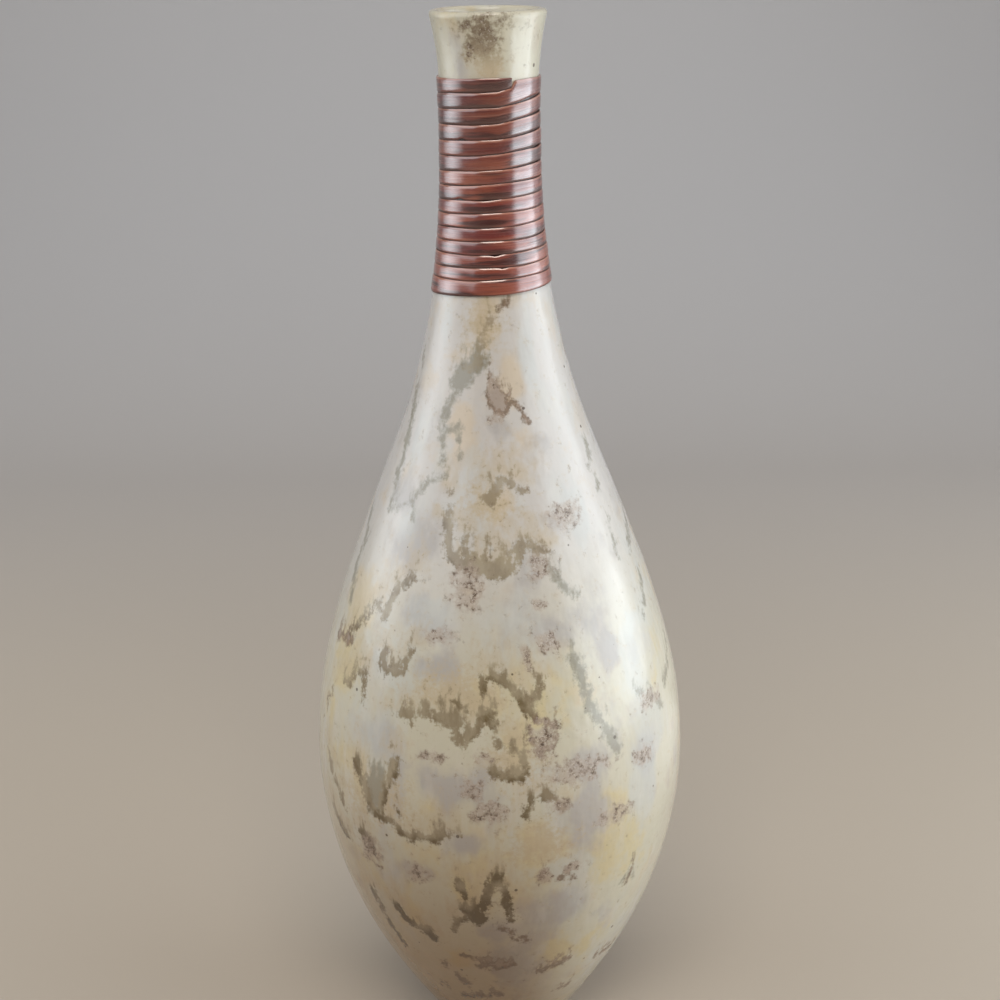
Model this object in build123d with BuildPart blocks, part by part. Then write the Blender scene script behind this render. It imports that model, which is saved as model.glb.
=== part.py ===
from build123d import *
import os
from math import cos, radians, sin, sqrt, tau

# A bottle vase: one hollow body of glazed stoneware, its neck bound with one long strip of split cane.
# Millimetres, +Z up. The origin is the middle of the foot, on the surface that the vase stands on.
# The vase has five stations, from the foot up: foot, belly, shoulder, waist of the neck, and lip.

# Outside radius of the body at each station
FOOT_RADIUS = 34.8
BELLY_RADIUS = 90.2
SHOULDER_RADIUS = 45.4
WAIST_RADIUS = 22.2
LIP_RADIUS = 27.0

# Rise of each station above the one below it
BELLY_RISE = 145.5
SHOULDER_RISE = 161.5
WAIST_RISE = 130.0
LIP_RISE = 63.0

# Outward lean of the wall from upright, in degrees. At the belly and the waist it stands upright.
FOOT_LEAN = 36.6
SHOULDER_LEAN = -20.8
LIP_LEAN = 14.0
UPRIGHT = 0.0

# How far a stretch of wall holds its direction at its lower and upper end, as shares of its rise
LOWER_HOLD = (0.47, 0.30)
UPPER_HOLD = (0.36, 0.31)
NECK_HOLD = (0.49, 0.13)
MOUTH_HOLD = (0.19, 0.41)

# Thickness of the wall and floor, the ring that the vase stands on, and the rounding of its edges.
# The lip's rounding takes at most a share of the wall on each side.
WALL = 5.0
FLOOR = 8.0
FLOOR_ROUND = 12.0
FOOT_RING_WIDTH = 7.0
FOOT_RECESS = 3.0
FOOT_ROUND = 1.0
LIP_ROUND = 2.1
LIP_ROUND_LIMIT = 0.48

# The cane strip: where its middle starts below the waist, how far it climbs, and how it is wound.
# The pitch eases from tight turns at the bottom to wide ones at the top, by a share of its mean.
BINDING_DROP = 59.3
BINDING_RISE = 92.3
TURNS = 14.5
PITCH_EASE = 0.13
START_ANGLE = 119.0
TURN_GAP = 0.5
GLUE_GAP = 0.2
STRIP_THICKNESS = 0.8
STRIP_EDGE_THICKNESS = 0.55

# Steps of the winding's route, and of the measurement of the gap between its turns
ROUTE_STEPS_PER_TURN = 4
GAP_STEPS_PER_TURN = 24
SMALL_STEP = 0.001

belly_height = BELLY_RISE
shoulder_height = belly_height + SHOULDER_RISE
waist_height = shoulder_height + WAIST_RISE
lip_height = waist_height + LIP_RISE
floor_height = FOOT_RECESS + FLOOR
recess_radius = FOOT_RADIUS - FOOT_RING_WIDTH
lip_round = min(LIP_ROUND, WALL * LIP_ROUND_LIMIT)

binding_start = waist_height - BINDING_DROP
mean_pitch = BINDING_RISE / TURNS

# A section of the vase is drawn with X as the radius and Y as the height
foot = Vector(FOOT_RADIUS, 0)
belly = Vector(BELLY_RADIUS, belly_height)
shoulder = Vector(SHOULDER_RADIUS, shoulder_height)
waist = Vector(WAIST_RADIUS, waist_height)
lip = Vector(LIP_RADIUS, lip_height)


def direction(lean):
    """The way up a wall that leans outwards by an angle."""
    return Vector(sin(radians(lean)), cos(radians(lean)))


def wall_curve(low, low_lean, high, high_lean, hold):
    """A stretch of the outer wall between two stations."""
    rise = high.Y - low.Y
    low_handle = low + direction(low_lean) * rise * hold[0]
    high_handle = high - direction(high_lean) * rise * hold[1]
    return Bezier(low, low_handle, high_handle, high)


def inner_point(curve, share):
    """The point on the inner wall that faces a point of the outer wall."""
    along = curve % share
    return curve @ share + Vector(-along.Y, along.X) * WALL


def share_at_level(point_at_share, level):
    """How far up a stretch of wall, as a share of its length, a level lies."""
    low, high = 0.0, 1.0
    while high - low > SMALL_STEP**2:
        middle = (low + high) / 2
        if point_at_share(middle).Y < level:
            low = middle
        else:
            high = middle
    return low


def rings_at(body, level):
    """The round edges of a body at one level."""
    rings = body.edges().filter_by(GeomType.CIRCLE)
    return rings.filter_by_position(Axis.Z, level - SMALL_STEP, level + SMALL_STEP)


with BuildLine() as outer_wall:
    lower_wall = wall_curve(foot, FOOT_LEAN, belly, UPRIGHT, LOWER_HOLD)
    upper_wall = wall_curve(belly, UPRIGHT, shoulder, SHOULDER_LEAN, UPPER_HOLD)
    neck_wall = wall_curve(shoulder, SHOULDER_LEAN, waist, UPRIGHT, NECK_HOLD)
    mouth_wall = wall_curve(waist, UPRIGHT, lip, LIP_LEAN, MOUTH_HOLD)

# The inner wall keeps the wall's thickness from the floor to the lip
floor_share = share_at_level(lambda share: inner_point(lower_wall, share), floor_height)
inner_points = [
    inner_point(lower_wall, floor_share),
    inner_point(lower_wall, (1 + floor_share) / 2),
]
for curve in (upper_wall, neck_wall, mouth_wall):
    for share in (0, 1 / 3, 2 / 3):
        inner_points.append(inner_point(curve, share))
inner_points.append(lip - Vector(WALL, 0))

# The body is thrown in one piece, with a rounded lip and a turned foot ring
with BuildPart() as vase_body:
    with BuildSketch(Plane.XZ):
        with BuildLine():
            add(outer_wall.line)
            inner_wall = Spline(*inner_points)
            Line(inner_wall @ 1, lip)
            Polyline(
                inner_wall @ 0,
                (0, floor_height),
                (0, FOOT_RECESS),
                (recess_radius, FOOT_RECESS),
                (recess_radius, 0),
                foot,
            )
        make_face()
    revolve(axis=Axis.Z)
    fillet(rings_at(vase_body, lip_height), lip_round)
    fillet(rings_at(vase_body, floor_height), FLOOR_ROUND)
    fillet(rings_at(vase_body, 0), FOOT_ROUND)
vase_body.part.label = "vase_body"


def pitch_at(turn):
    """Pitch of the winding where the strip has made a number of turns."""
    return mean_pitch * (1 + PITCH_EASE * (2 * turn / TURNS - 1))


def half_width_at(turn):
    """Half the width of the strip, which fills its pitch but for the gap to the next turn."""
    return (pitch_at(turn) - TURN_GAP) / 2


def strip_level(turn):
    """Height at which the middle of the strip lies on the neck."""
    return binding_start + mean_pitch * turn * (1 + PITCH_EASE * (turn / TURNS - 1))


def strip_place(turn, out=0.0, up=0.0):
    """A point of the strip: the middle of its inner face, moved outwards and up its width."""
    level = strip_level(turn)
    curve = neck_wall if level < waist_height else mouth_wall
    share = share_at_level(lambda along: curve @ along, level)
    upward = curve % share
    outward = Vector(upward.Y, -upward.X)
    place = curve @ share + outward * (GLUE_GAP + out) + upward * up
    angle = radians(START_ANGLE) + tau * turn
    return Vector(place.X * cos(angle), place.X * sin(angle), place.Y)


def strip_heading(turn):
    """The way along the strip."""
    return (strip_place(turn + SMALL_STEP) - strip_place(turn - SMALL_STEP)).normalized()


def strip_plane(turn):
    """The plane across the strip, with X out of the neck and Y up the strip's width."""
    middle = strip_place(turn)
    return Plane(origin=middle, x_dir=strip_place(turn, out=1) - middle, z_dir=strip_heading(turn))


def biarc(start_turn, end_turn):
    """Two arcs that join smoothly and carry the strip's route from one turn to another."""
    start, end = strip_place(start_turn), strip_place(end_turn)
    leave, arrive = strip_heading(start_turn), strip_heading(end_turn)
    chord = end - start
    bend = 2 * (1 - leave.dot(arrive))
    reach = chord.dot(leave + arrive)
    handle = (sqrt(reach**2 + bend * chord.dot(chord)) - reach) / bend
    start_handle = start + leave * handle
    end_handle = end - arrive * handle
    joint = (start_handle + end_handle) / 2
    TangentArc(start, joint, tangent=leave)
    TangentArc(joint, end, tangent=end_handle - start_handle)


# The strip is wound right-handed up the neck, edge beside edge, and glued on by its flat back.
# Its edges are square and its face is crowned.
route_steps = round(TURNS * ROUTE_STEPS_PER_TURN)
route_turns = [TURNS * step / route_steps for step in range(route_steps + 1)]

with BuildPart() as neck_binding:
    with BuildLine() as route:
        for start_turn, end_turn in zip(route_turns, route_turns[1:]):
            biarc(start_turn, end_turn)
    for turn in route_turns:
        half_width = half_width_at(turn)
        with BuildSketch(strip_plane(turn)):
            with BuildLine():
                back_and_edges = Polyline(
                    (STRIP_EDGE_THICKNESS, -half_width),
                    (0, -half_width),
                    (0, half_width),
                    (STRIP_EDGE_THICKNESS, half_width),
                )
                ThreePointArc(back_and_edges @ 1, (STRIP_THICKNESS, 0), back_and_edges @ 0)
            make_face()
    sweep(path=route.line, multisection=True)
neck_binding.part.label = "neck_binding"

# The least gap between turns, from points on the upper edge of each to the lower edge of the next
gap_turns = [step / GAP_STEPS_PER_TURN for step in range(int(TURNS * GAP_STEPS_PER_TURN) + 1)]
upper_edge = [strip_place(turn, 0, half_width_at(turn)) for turn in gap_turns]
lower_edge = [strip_place(turn, 0, -half_width_at(turn)) for turn in gap_turns]
least_gap = min(
    (below - above).length
    for step, below in enumerate(upper_edge)
    for above in lower_edge[step + GAP_STEPS_PER_TURN // 2 :]
)
print(f"Height {lip_height:.1f} mm, {TURNS} turns of cane, {route.wire().length:.0f} mm long")
print(f"Least gap between turns {least_gap:.2f} mm")

os.makedirs("parts", exist_ok=True)
export_step(vase_body.part, "parts/vase_body.step")
export_step(neck_binding.part, "parts/neck_binding.step")
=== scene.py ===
import random
from math import cos, pi, radians, sin

import bpy
import numpy as np
from mathutils import Matrix, Vector


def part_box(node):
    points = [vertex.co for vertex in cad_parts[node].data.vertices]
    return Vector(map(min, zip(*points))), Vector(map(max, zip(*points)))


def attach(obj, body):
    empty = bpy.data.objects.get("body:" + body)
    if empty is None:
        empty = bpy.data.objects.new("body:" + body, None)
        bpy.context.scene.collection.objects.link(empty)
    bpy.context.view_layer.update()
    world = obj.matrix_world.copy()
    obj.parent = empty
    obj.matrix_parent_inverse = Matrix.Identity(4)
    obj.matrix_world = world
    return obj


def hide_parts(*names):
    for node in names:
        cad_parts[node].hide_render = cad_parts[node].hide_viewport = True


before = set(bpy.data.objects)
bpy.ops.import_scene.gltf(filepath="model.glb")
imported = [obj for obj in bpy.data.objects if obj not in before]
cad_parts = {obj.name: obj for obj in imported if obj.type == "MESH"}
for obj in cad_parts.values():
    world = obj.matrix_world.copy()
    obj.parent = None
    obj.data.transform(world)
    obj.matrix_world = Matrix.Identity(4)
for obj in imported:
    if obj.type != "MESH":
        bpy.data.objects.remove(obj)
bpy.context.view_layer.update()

# The vase body: one hollow bottle of stoneware, thrown in one piece and dipped in a pale glaze that
# runs and breaks into olive brush marks, grey hazes and brown specks. Its foot and inside are bare clay.
# The wall's line is drawn from the foot to the lip, closed by the inside and the foot, and spun.
FOOT_RADIUS = 0.0348
BELLY_RADIUS = 0.0902
SHOULDER_RADIUS = 0.0454
WAIST_RADIUS = 0.0222
LIP_RADIUS = 0.0270
BELLY_HEIGHT = 0.1455
SHOULDER_HEIGHT = 0.3070
WAIST_HEIGHT = 0.4370
FOOT_LEAN = radians(36.6)
SHOULDER_LEAN = radians(-20.8)
LIP_LEAN = radians(14.0)
WALL = 0.005
LIP_ROUND = 0.0027
LIP_INNER_ROUND = 0.0016
INNER_LIP_STEP = 0.0004
INNER_SHOULDER_RADIUS = 0.0407
INNER_SHOULDER_HEIGHT = 0.3052
INSIDE_FLOOR = 0.011
INSIDE_CORNER_RADIUS = 0.0401
INSIDE_CORNER_RISE = 0.0045
INSIDE_CORNER_LEAN = radians(38)
INSIDE_FLOOR_RADIUS = 0.0300
FOOT_RING = 0.007
FOOT_RECESS = 0.003
FOOT_ROUND = 0.001

# A line's stations: its radius, height and lean from upright there, and its hold before and after
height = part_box("vase_body")[1].z
inward = -pi / 2
downward = pi
outer_wall = (
    (FOOT_RADIUS + FOOT_ROUND * sin(FOOT_LEAN), FOOT_ROUND, FOOT_LEAN, 0, 0.0675),
    (BELLY_RADIUS, BELLY_HEIGHT, 0, 0.04365, 0.05814),
    (SHOULDER_RADIUS, SHOULDER_HEIGHT, SHOULDER_LEAN, 0.05007, 0.0637),
    (WAIST_RADIUS, WAIST_HEIGHT, 0, 0.0169, 0.01197),
    (
        LIP_RADIUS - LIP_ROUND * sin(LIP_LEAN),
        height - LIP_ROUND * cos(LIP_LEAN),
        LIP_LEAN,
        0.02314,
        0,
    ),
)
lip_and_inside = (
    (*outer_wall[-1][:3], 0, LIP_ROUND * 0.6),
    (LIP_RADIUS - LIP_ROUND, height, inward, LIP_ROUND * 0.5, 0.0002),
    (LIP_RADIUS - WALL + LIP_INNER_ROUND, height, inward, 0.0002, LIP_INNER_ROUND * 0.5),
    (
        LIP_RADIUS - WALL - INNER_LIP_STEP,
        height - LIP_INNER_ROUND,
        downward + LIP_LEAN,
        LIP_INNER_ROUND * 0.6,
        0.023,
    ),
    (WAIST_RADIUS - WALL, WAIST_HEIGHT, downward, 0.012, 0.0169),
    (INNER_SHOULDER_RADIUS, INNER_SHOULDER_HEIGHT, downward + SHOULDER_LEAN, 0.0637, 0.049),
    (BELLY_RADIUS - WALL, BELLY_HEIGHT, downward, 0.055, 0.041),
    (
        INSIDE_CORNER_RADIUS,
        INSIDE_FLOOR + INSIDE_CORNER_RISE,
        downward + INSIDE_CORNER_LEAN,
        0.060,
        0.004,
    ),
    (INSIDE_FLOOR_RADIUS, INSIDE_FLOOR, inward, 0.005, 0.01),
    (0, INSIDE_FLOOR, inward, 0.01, 0),
)
recess_radius = FOOT_RADIUS - FOOT_RING
foot_line = (
    (*outer_wall[0][:3], 0, -FOOT_ROUND * 0.5),
    (FOOT_RADIUS - FOOT_ROUND * 0.5, 0, inward, FOOT_ROUND * 0.5, 0.001),
    (recess_radius + FOOT_ROUND, 0, inward, 0.001, FOOT_ROUND * 0.5),
    (recess_radius, FOOT_ROUND, 0, FOOT_ROUND * 0.5, 0.0005),
    (recess_radius, FOOT_RECESS - FOOT_ROUND, 0, 0.0005, FOOT_ROUND * 0.5),
    (recess_radius - FOOT_ROUND, FOOT_RECESS, inward, FOOT_ROUND * 0.5, 0.005),
    (0, FOOT_RECESS, inward, 0.01, 0),
)


def drawn_line(stations, steps):
    """A line of the vase's section, drawn as a curve through its stations and made a mesh."""
    bpy.ops.object.select_all(action="DESELECT")
    bpy.ops.curve.primitive_bezier_curve_add()
    line = bpy.context.object
    line.data.dimensions = "3D"
    line.data.resolution_u = steps
    points = line.data.splines[0].bezier_points
    points.add(len(stations) - 2)
    for point, (radius, level, lean, before, after) in zip(points, stations):
        way = Vector((sin(lean), 0, cos(lean)))
        point.handle_left_type = "FREE"
        point.handle_right_type = "FREE"
        point.co = (radius, 0, level)
        point.handle_left = point.co - way * before
        point.handle_right = point.co + way * after
    bpy.ops.object.convert(target="MESH")
    return bpy.context.object


WALL_STEPS = 74
INSIDE_STEPS = 6
SPIN_STEPS = 256
MERGE_REACH = 1e-6
SPIN_MERGE_REACH = 1e-5
outer_line = drawn_line(outer_wall, WALL_STEPS)
wall_line = np.array([vertex.co for vertex in outer_line.data.vertices])
wall_radii = wall_line[:, 0]
wall_heights = wall_line[:, 2]
inside_line = drawn_line(lip_and_inside, INSIDE_STEPS)
foot_ring_line = drawn_line(foot_line, INSIDE_STEPS)

bpy.ops.object.select_all(action="DESELECT")
for line in (outer_line, inside_line, foot_ring_line):
    line.select_set(True)
bpy.context.view_layer.objects.active = outer_line
bpy.ops.object.join()
vase = bpy.context.object
vase.name = "glazed_vase"
bpy.ops.object.mode_set(mode="EDIT")
bpy.ops.mesh.select_all(action="SELECT")
bpy.ops.mesh.remove_doubles(threshold=MERGE_REACH)
bpy.ops.mesh.spin(steps=SPIN_STEPS, angle=2 * pi, center=(0, 0, 0), axis=(0, 0, 1))
bpy.ops.mesh.select_all(action="SELECT")
bpy.ops.mesh.remove_doubles(threshold=SPIN_MERGE_REACH)
bpy.ops.mesh.normals_make_consistent(inside=False)
bpy.ops.object.mode_set(mode="OBJECT")
bpy.ops.object.shade_smooth()

# The hand's unevenness, a fraction of a millimetre, which leaves the foot flat
HAND_WAVE = 0.0005
HAND_WAVE_SPREAD = 0.045
FLAT_FOOT_LEVEL = 0.012
uneven_points = [vertex.index for vertex in vase.data.vertices if vertex.co.z > FLAT_FOOT_LEVEL]
uneven_part = vase.vertex_groups.new(name="uneven_part")
uneven_part.add(uneven_points, 1.0, "REPLACE")
hand_wave = bpy.data.textures.new("hand_wave", "CLOUDS")
hand_wave.noise_scale = HAND_WAVE_SPREAD
unevenness = vase.modifiers.new("unevenness", "DISPLACE")
unevenness.texture = hand_wave
unevenness.strength = HAND_WAVE
unevenness.mid_level = 0.5
unevenness.vertex_group = uneven_part.name
bpy.ops.object.modifier_apply(modifier=unevenness.name)

# Brush marks in the glaze, as they lie on the front: half a mark's width in millimetres, then its places
# as degrees round from the front and millimetres above the foot
olive_marks = [
    (1.7, (10, 373), (4, 369)),
    (2.1, (1, 367), (-2, 365)),
    (1.4, (-8, 361), (-10.5, 358), (-11.5, 351)),
    (2.2, (-19, 344), (-13, 347)),
    (2.2, (-1, 291), (3, 297), (7, 295.5), (13, 291.5)),
    (2.9, (-3, 288), (-1, 291)),
    (0.9, (-23, 281), (-23.5, 290)),
    (2.6, (-22.5, 277), (-20.5, 266), (-16, 261.5), (-6.5, 258.5), (0, 256), (5.7, 258.5), (8.5, 262)),
    (4.2, (-6, 259.5), (3, 259)),
    (2.0, (-13, 263), (-13, 272)),
    (1.7, (-2.5, 262), (-2.5, 266.5)),
    (1.4, (4.3, 261), (4.4, 265)),
    (2.1, (8.8, 262), (9.3, 269), (13.5, 268.5), (20.5, 264.5)),
    (1.8, (-63, 217), (-50, 237), (-45, 232), (-42, 245), (-35, 253)),
    (2.3, (-42.5, 216), (-40, 209), (-34, 211.5), (-33, 215)),
    (1.2, (-32, 217), (-30, 221.5)),
    (1.8, (-60, 196), (-56, 196), (-54, 204), (-50, 204), (-48, 193)),
    (2.2, (-5.4, 207.5), (-4.9, 212), (-0.8, 213), (4, 208), (7.5, 201.5)),
    (2.8, (8, 200), (10.4, 195.5)),
    (1.7, (10.6, 196), (12.5, 203), (13.3, 209)),
    (2.5, (-31, 192.5), (-28.5, 192)),
    (1.2, (-28.5, 190), (-28, 188)),
    (1.5, (-25.5, 193.5), (-21.5, 196)),
    (0.9, (-25, 198), (-24, 198)),
    (0.9, (-35.5, 191), (-34.5, 191)),
    (4.0, (-18, 194), (-13.5, 193)),
    (1.6, (-14.5, 201), (-10.8, 198)),
    (2.5, (-14, 190), (-12.5, 184.5), (-11.3, 182.5)),
    (2.9, (-11, 183.5), (-8, 188.5), (-5.5, 194), (-2.6, 197)),
    (1.8, (-2.6, 197), (-1.8, 191)),
    (1.8, (-0.3, 185.5), (0.2, 182), (4.3, 180.5), (7.1, 177), (7.3, 171), (6.3, 167)),
    (2.4, (6, 167), (2.4, 167), (-1.5, 170)),
    (1.3, (8.2, 188), (7.6, 181)),
    (1.9, (7, 148), (9, 156), (14, 157), (18, 150)),
    (2.6, (-49, 162.5), (-46.5, 156), (-43.4, 146), (-40.5, 140)),
    (2.6, (-32.8, 171), (-34.4, 164)),
    (2.1, (-34.4, 164), (-36.5, 152), (-38.6, 143)),
    (1.9, (-41.5, 139.5), (-37.5, 138.5), (-33.8, 138), (-31.3, 134.5)),
    (1.9, (-31.3, 134.5), (-28.5, 132.5), (-24.5, 134.5), (-20, 134)),
    (2.9, (-19.5, 135), (-17, 137.5)),
    (1.3, (-16, 137), (-13, 137)),
    (1.2, (-33, 147), (-31.5, 142)),
    (3.1, (-48, 125), (-44.5, 122)),
    (1.1, (-67, 190), (-73, 170)),
    (1.6, (-67, 158), (-64.5, 150), (-58.5, 141), (-56, 134.5)),
    (2.2, (-65, 128), (-61.5, 121), (-56, 117.5)),
    (2.3, (-13.6, 113), (-12, 106), (-10.6, 99)),
    (5.3, (-9.8, 95), (-8.7, 91.5)),
    (2.8, (-6.6, 97), (-4.9, 106), (-3, 113), (-1.8, 116)),
    (1.6, (-1.6, 115), (0.3, 109)),
    (2.4, (0.5, 107.5), (1.2, 103.5), (2.3, 97)),
    (1.6, (2.3, 97), (2.5, 90)),
    (2.0, (-12.8, 90), (-15.6, 87.5), (-16.8, 81.5)),
    (2.4, (-38.5, 88), (-37, 82), (-33, 79.5), (-28.5, 76.5), (-26, 73)),
    (1.8, (-49.5, 91.5), (-47, 73), (-43, 59)),
]
brown_marks = [
    (1.5, (7, 371), (15, 373)),
    (5.4, (1.5, 331.5), (4.5, 329)),
    (0.7, (9, 334), (13, 330), (17.5, 325), (22.5, 319)),
    (2.4, (-72, 213), (-61, 215)),
    (1.6, (11, 192), (16, 190), (17, 182), (12, 177), (10, 183)),
    (1.2, (-44, 119), (-41, 109)),
    (0.9, (11, 111.5), (13.5, 119)),
    (0.8, (18, 111), (20, 118), (23, 110)),
    (0.9, (45.5, 96), (46.5, 106.5)),
    (1.3, (-1, 84), (8, 75)),
    (1.5, (-16, 63.5), (-12, 63.5)),
    (3.4, (-8, 58), (2, 58)),
    (2.3, (15.5, 51), (22, 53.5), (27, 56)),
    (1.5, (-26, 54), (-24, 54)),
    (1.4, (44, 48), (56, 47)),
    (2.2, (-20, 46), (-17, 40)),
    (1.8, (-21, 29), (-7, 32), (-1.5, 34)),
    (1.4, (28, 30), (35, 32)),
    (1.2, (-32, 33), (-30, 33)),
]
grey_marks = [
    (5.0, (-26, 338), (-19.5, 344), (-14, 347)),
    (1.8, (-26, 336), (-31, 331), (-33, 322)),
    (0.9, (-31, 316), (-24.5, 316.5), (-21.5, 312.5), (-21, 305.5)),
    (0.9, (-35, 321), (-31, 303)),
    (0.9, (-60, 288), (-61, 276), (-55, 278), (-44, 284), (-37, 292), (-27, 298)),
    (0.8, (-44, 284), (-41, 276)),
    (1.9, (-71, 330), (-68, 320), (-63, 303), (-62, 289)),
    (1.0, (-77, 348), (-71, 340)),
    (2.2, (-80, 270), (-73, 258), (-75, 248), (-69, 231)),
    (1.4, (66, 304), (65.5, 300), (59, 295)),
    (1.0, (63.5, 287.5), (60.5, 284)),
    (1.2, (60.5, 269), (59, 260.5), (58.5, 253)),
    (1.6, (85, 268.5), (80, 260.5), (70.5, 253)),
    (1.3, (72, 239), (68.5, 231), (63.5, 223.5)),
    (1.3, (80, 205.5), (75, 195), (67, 188)),
    (2.8, (26, 218), (30, 195), (38, 172)),
    (1.3, (49, 194.5), (55, 190), (63, 179)),
    (2.0, (21, 259), (24.5, 251.5), (30, 245)),
    (6.0, (-40.5, 156), (-40.5, 150)),
    (4.5, (-40.5, 150), (-41, 142)),
    (0.8, (46, 108), (45, 101), (41, 95)),
    (0.8, (45, 101), (49, 96)),
]

# Zones of the glaze: degrees round from the front and millimetres above the foot, then half the width
# in degrees and half the height in millimetres
yellow_zones = [
    (-44, 152, 15, 16), (12, 133, 12, 15), (42, 112, 18, 28), (-9, 108, 9, 12), (19, 62, 9, 11),
    (-4, 286, 14, 10), (9, 205, 8, 18), (-6, 362, 14, 9), (60, 205, 8, 24), (72, 258, 9, 25),
    (-62, 235, 12, 16), (0, 205, 9, 9), (-34, 198, 16, 9), (5, 178, 8, 12), (-46, 100, 16, 20),
    (14, 340, 10, 10), (-22, 318, 8, 9), (-60, 205, 9, 14), (-34, 84, 13, 12),
    (-22, 150, 7, 9), (33, 148, 7, 9), (-18, 62, 9, 12), (38, 62, 10, 12), (-60, 165, 8, 18),
]
haze_zones = [
    (-15, 162, 14, 17), (-10, 133, 7, 7), (24, 168, 12, 12), (27, 145, 9, 16), (22, 92, 13, 16),
    (2, 58, 11, 15), (17, 259, 7, 7), (29, 310, 10, 12), (34, 279, 14, 9), (-36, 264, 13, 10),
    (-55, 283, 10, 9), (-27, 114, 9, 9), (50, 163, 8, 9), (4, 318, 9, 7), (-36, 327, 9, 14),
    (-30, 236, 11, 9), (-20, 214, 13, 7), (-42, 178, 9, 8), (28, 232, 9, 12), (40.5, 217, 4, 9),
    (-3, 82, 8, 8), (-33, 480, 10, 11),
]
crawl_zones = [
    (-11.5, 251, 7.5, 10), (-1, 337, 5, 3), (1, 322, 5, 3), (-21, 229, 6, 4), (17, 259, 6, 6),
    (16, 243, 3, 3), (34, 279, 11, 6), (18, 226, 5, 5), (9, 220, 2, 6), (-20, 175, 6, 3),
    (-5, 176, 3, 3), (-8, 161, 4, 5), (-4, 150, 6, 6), (24, 167, 11, 7), (49, 163, 5, 5),
    (56, 187, 6, 5), (37, 139, 7, 5), (17, 151, 4, 4), (-45, 118, 5, 8), (-27, 113, 4, 6),
    (13, 116, 3, 5), (22, 117, 5, 3), (13, 184, 5, 9), (-2, 492, 14, 8), (-20, 494, 9, 3),
    (-21, 482, 7, 4),
]
# Stains, and painted shade: the zones on the front of the neck between the binding and the lip are partly
# shade
stain_and_shade_zones = [
    (-3, 492, 18, 9), (-10, 487, 14, 10), (-20, 494, 12, 4), (-22, 482, 9, 5), (1, 484, 9, 5),
    (2, 477, 17, 8), (-8, 362, 14, 12), (-3, 286, 10, 8), (-13, 205, 16, 12), (5, 176, 8, 16),
    (-40, 148, 14, 14), (12, 132, 10, 12),
]
blue_zones = [
    (-45, 362, 8, 13), (-53, 308, 8, 16), (-43, 272, 9, 11), (-26, 239, 10, 8), (53, 213, 9, 16),
    (14, 165, 7, 6), (48, 146, 7, 14), (40, 276, 9, 12), (57, 174, 7, 12), (28, 350, 9, 14),
    (-38, 206, 10, 7), (-52, 176, 8, 10), (24, 118, 9, 6), (150, 240, 16, 30), (-130, 200, 14, 24),
    (100, 300, 14, 24),
]
# Sides where the painted shade towards the foot is lifted: most of all the lower right, where the lamps
# fall
shade_free_zones = [(50, 80, 36, 85), (150, 130, 26, 60), (-115, 90, 28, 60)]

# The sides and the back have marks and zones of the same kinds, which stray from even rows and columns.
# They spread wider on the narrow upper part.
MARK_SEED = 11
MARK_ROWS = range(30, 366, 14)
MARK_COLUMNS = (118, 180, 242)
ROW_STRAY = 9
COLUMN_STRAY = 28
MARK_SPREADS = (0.6, 1.3)
MARK_HALF_WIDTHS = (1.0, 3.2)
NARROW_FROM = 200
ZONE_STRAY = 10
ZONE_DROPS = (4, 14)
ZONE_HALF_ANGLE = 10
ZONE_HALF_HEIGHT = 9
mark_shapes = (
    ((-7, -4), (-1, 3), (3, 1), (9, -6)),
    ((-8, 5), (-3, -1), (1, -5), (7, -4)),
    ((-11, 1), (-5, -3), (0, -2), (5, 3), (10, 2)),
    ((-4, 9), (-1, 2), (3, -3), (4, -9)),
    ((-12, -2), (-4, 2), (4, -1), (12, 1), (14, 9)),
)
chance = random.Random(MARK_SEED)
for row in MARK_ROWS:
    for column in MARK_COLUMNS:
        mark_angle = column + chance.uniform(-COLUMN_STRAY, COLUMN_STRAY)
        mark_level = row + chance.uniform(-ROW_STRAY, ROW_STRAY)
        spread = chance.uniform(*MARK_SPREADS) * (1 + max(0, mark_level - NARROW_FROM) / NARROW_FROM)
        shape = chance.choice(mark_shapes)
        marks = chance.choice((olive_marks, olive_marks, brown_marks, grey_marks))
        places = [(mark_angle + over * spread, mark_level + rise * spread) for over, rise in shape]
        marks.append((chance.uniform(*MARK_HALF_WIDTHS), *places))
        zones = chance.choice((yellow_zones, crawl_zones, haze_zones, stain_and_shade_zones))
        zone_angle = mark_angle + chance.uniform(-ZONE_STRAY, ZONE_STRAY)
        zone_level = mark_level - chance.uniform(*ZONE_DROPS)
        zones.append((zone_angle, zone_level, ZONE_HALF_ANGLE * spread, ZONE_HALF_HEIGHT * spread))

# The route of the cane that is wound round the neck: it climbs in turns that widen towards the top, and
# the upper turns are pulled up on the right
TURNS = 14.49
START_ANGLE = radians(119)
START_LEVEL = 0.3777
CLIMB = 0.0923
CLIMB_TURNS = 14.5
MEAN_PITCH = CLIMB / CLIMB_TURNS
PITCH_EASE = 0.13
LIFT = 0.0033
LIFT_START = 7.7
LIFT_FULL = 13.69
LIFT_GROWTH = 1.2
LIFT_AZIMUTH = radians(2)
LIFT_SIDE = 0.15
LIFT_FALLOFF = 0.8
END_TAPER = 0.34
END_WIDTH = 0.74


def strip_pitch(turn):
    """Height between the strip's turns, where it has made a number of turns."""
    return MEAN_PITCH * (1 + PITCH_EASE * (2 * turn / TURNS - 1))


def strip_lift(turn):
    """How far the strip is pulled up on the right, where it has made a number of turns."""
    lift_share = np.clip((turn - LIFT_START) / (LIFT_FULL - LIFT_START), 0, 1) ** LIFT_GROWTH
    to_right = np.cos(START_ANGLE + 2 * pi * turn - LIFT_AZIMUTH)
    right_share = np.clip((to_right - LIFT_SIDE) / (1 - LIFT_SIDE), 0, 1) ** LIFT_FALLOFF
    return LIFT * lift_share * right_share


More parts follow.
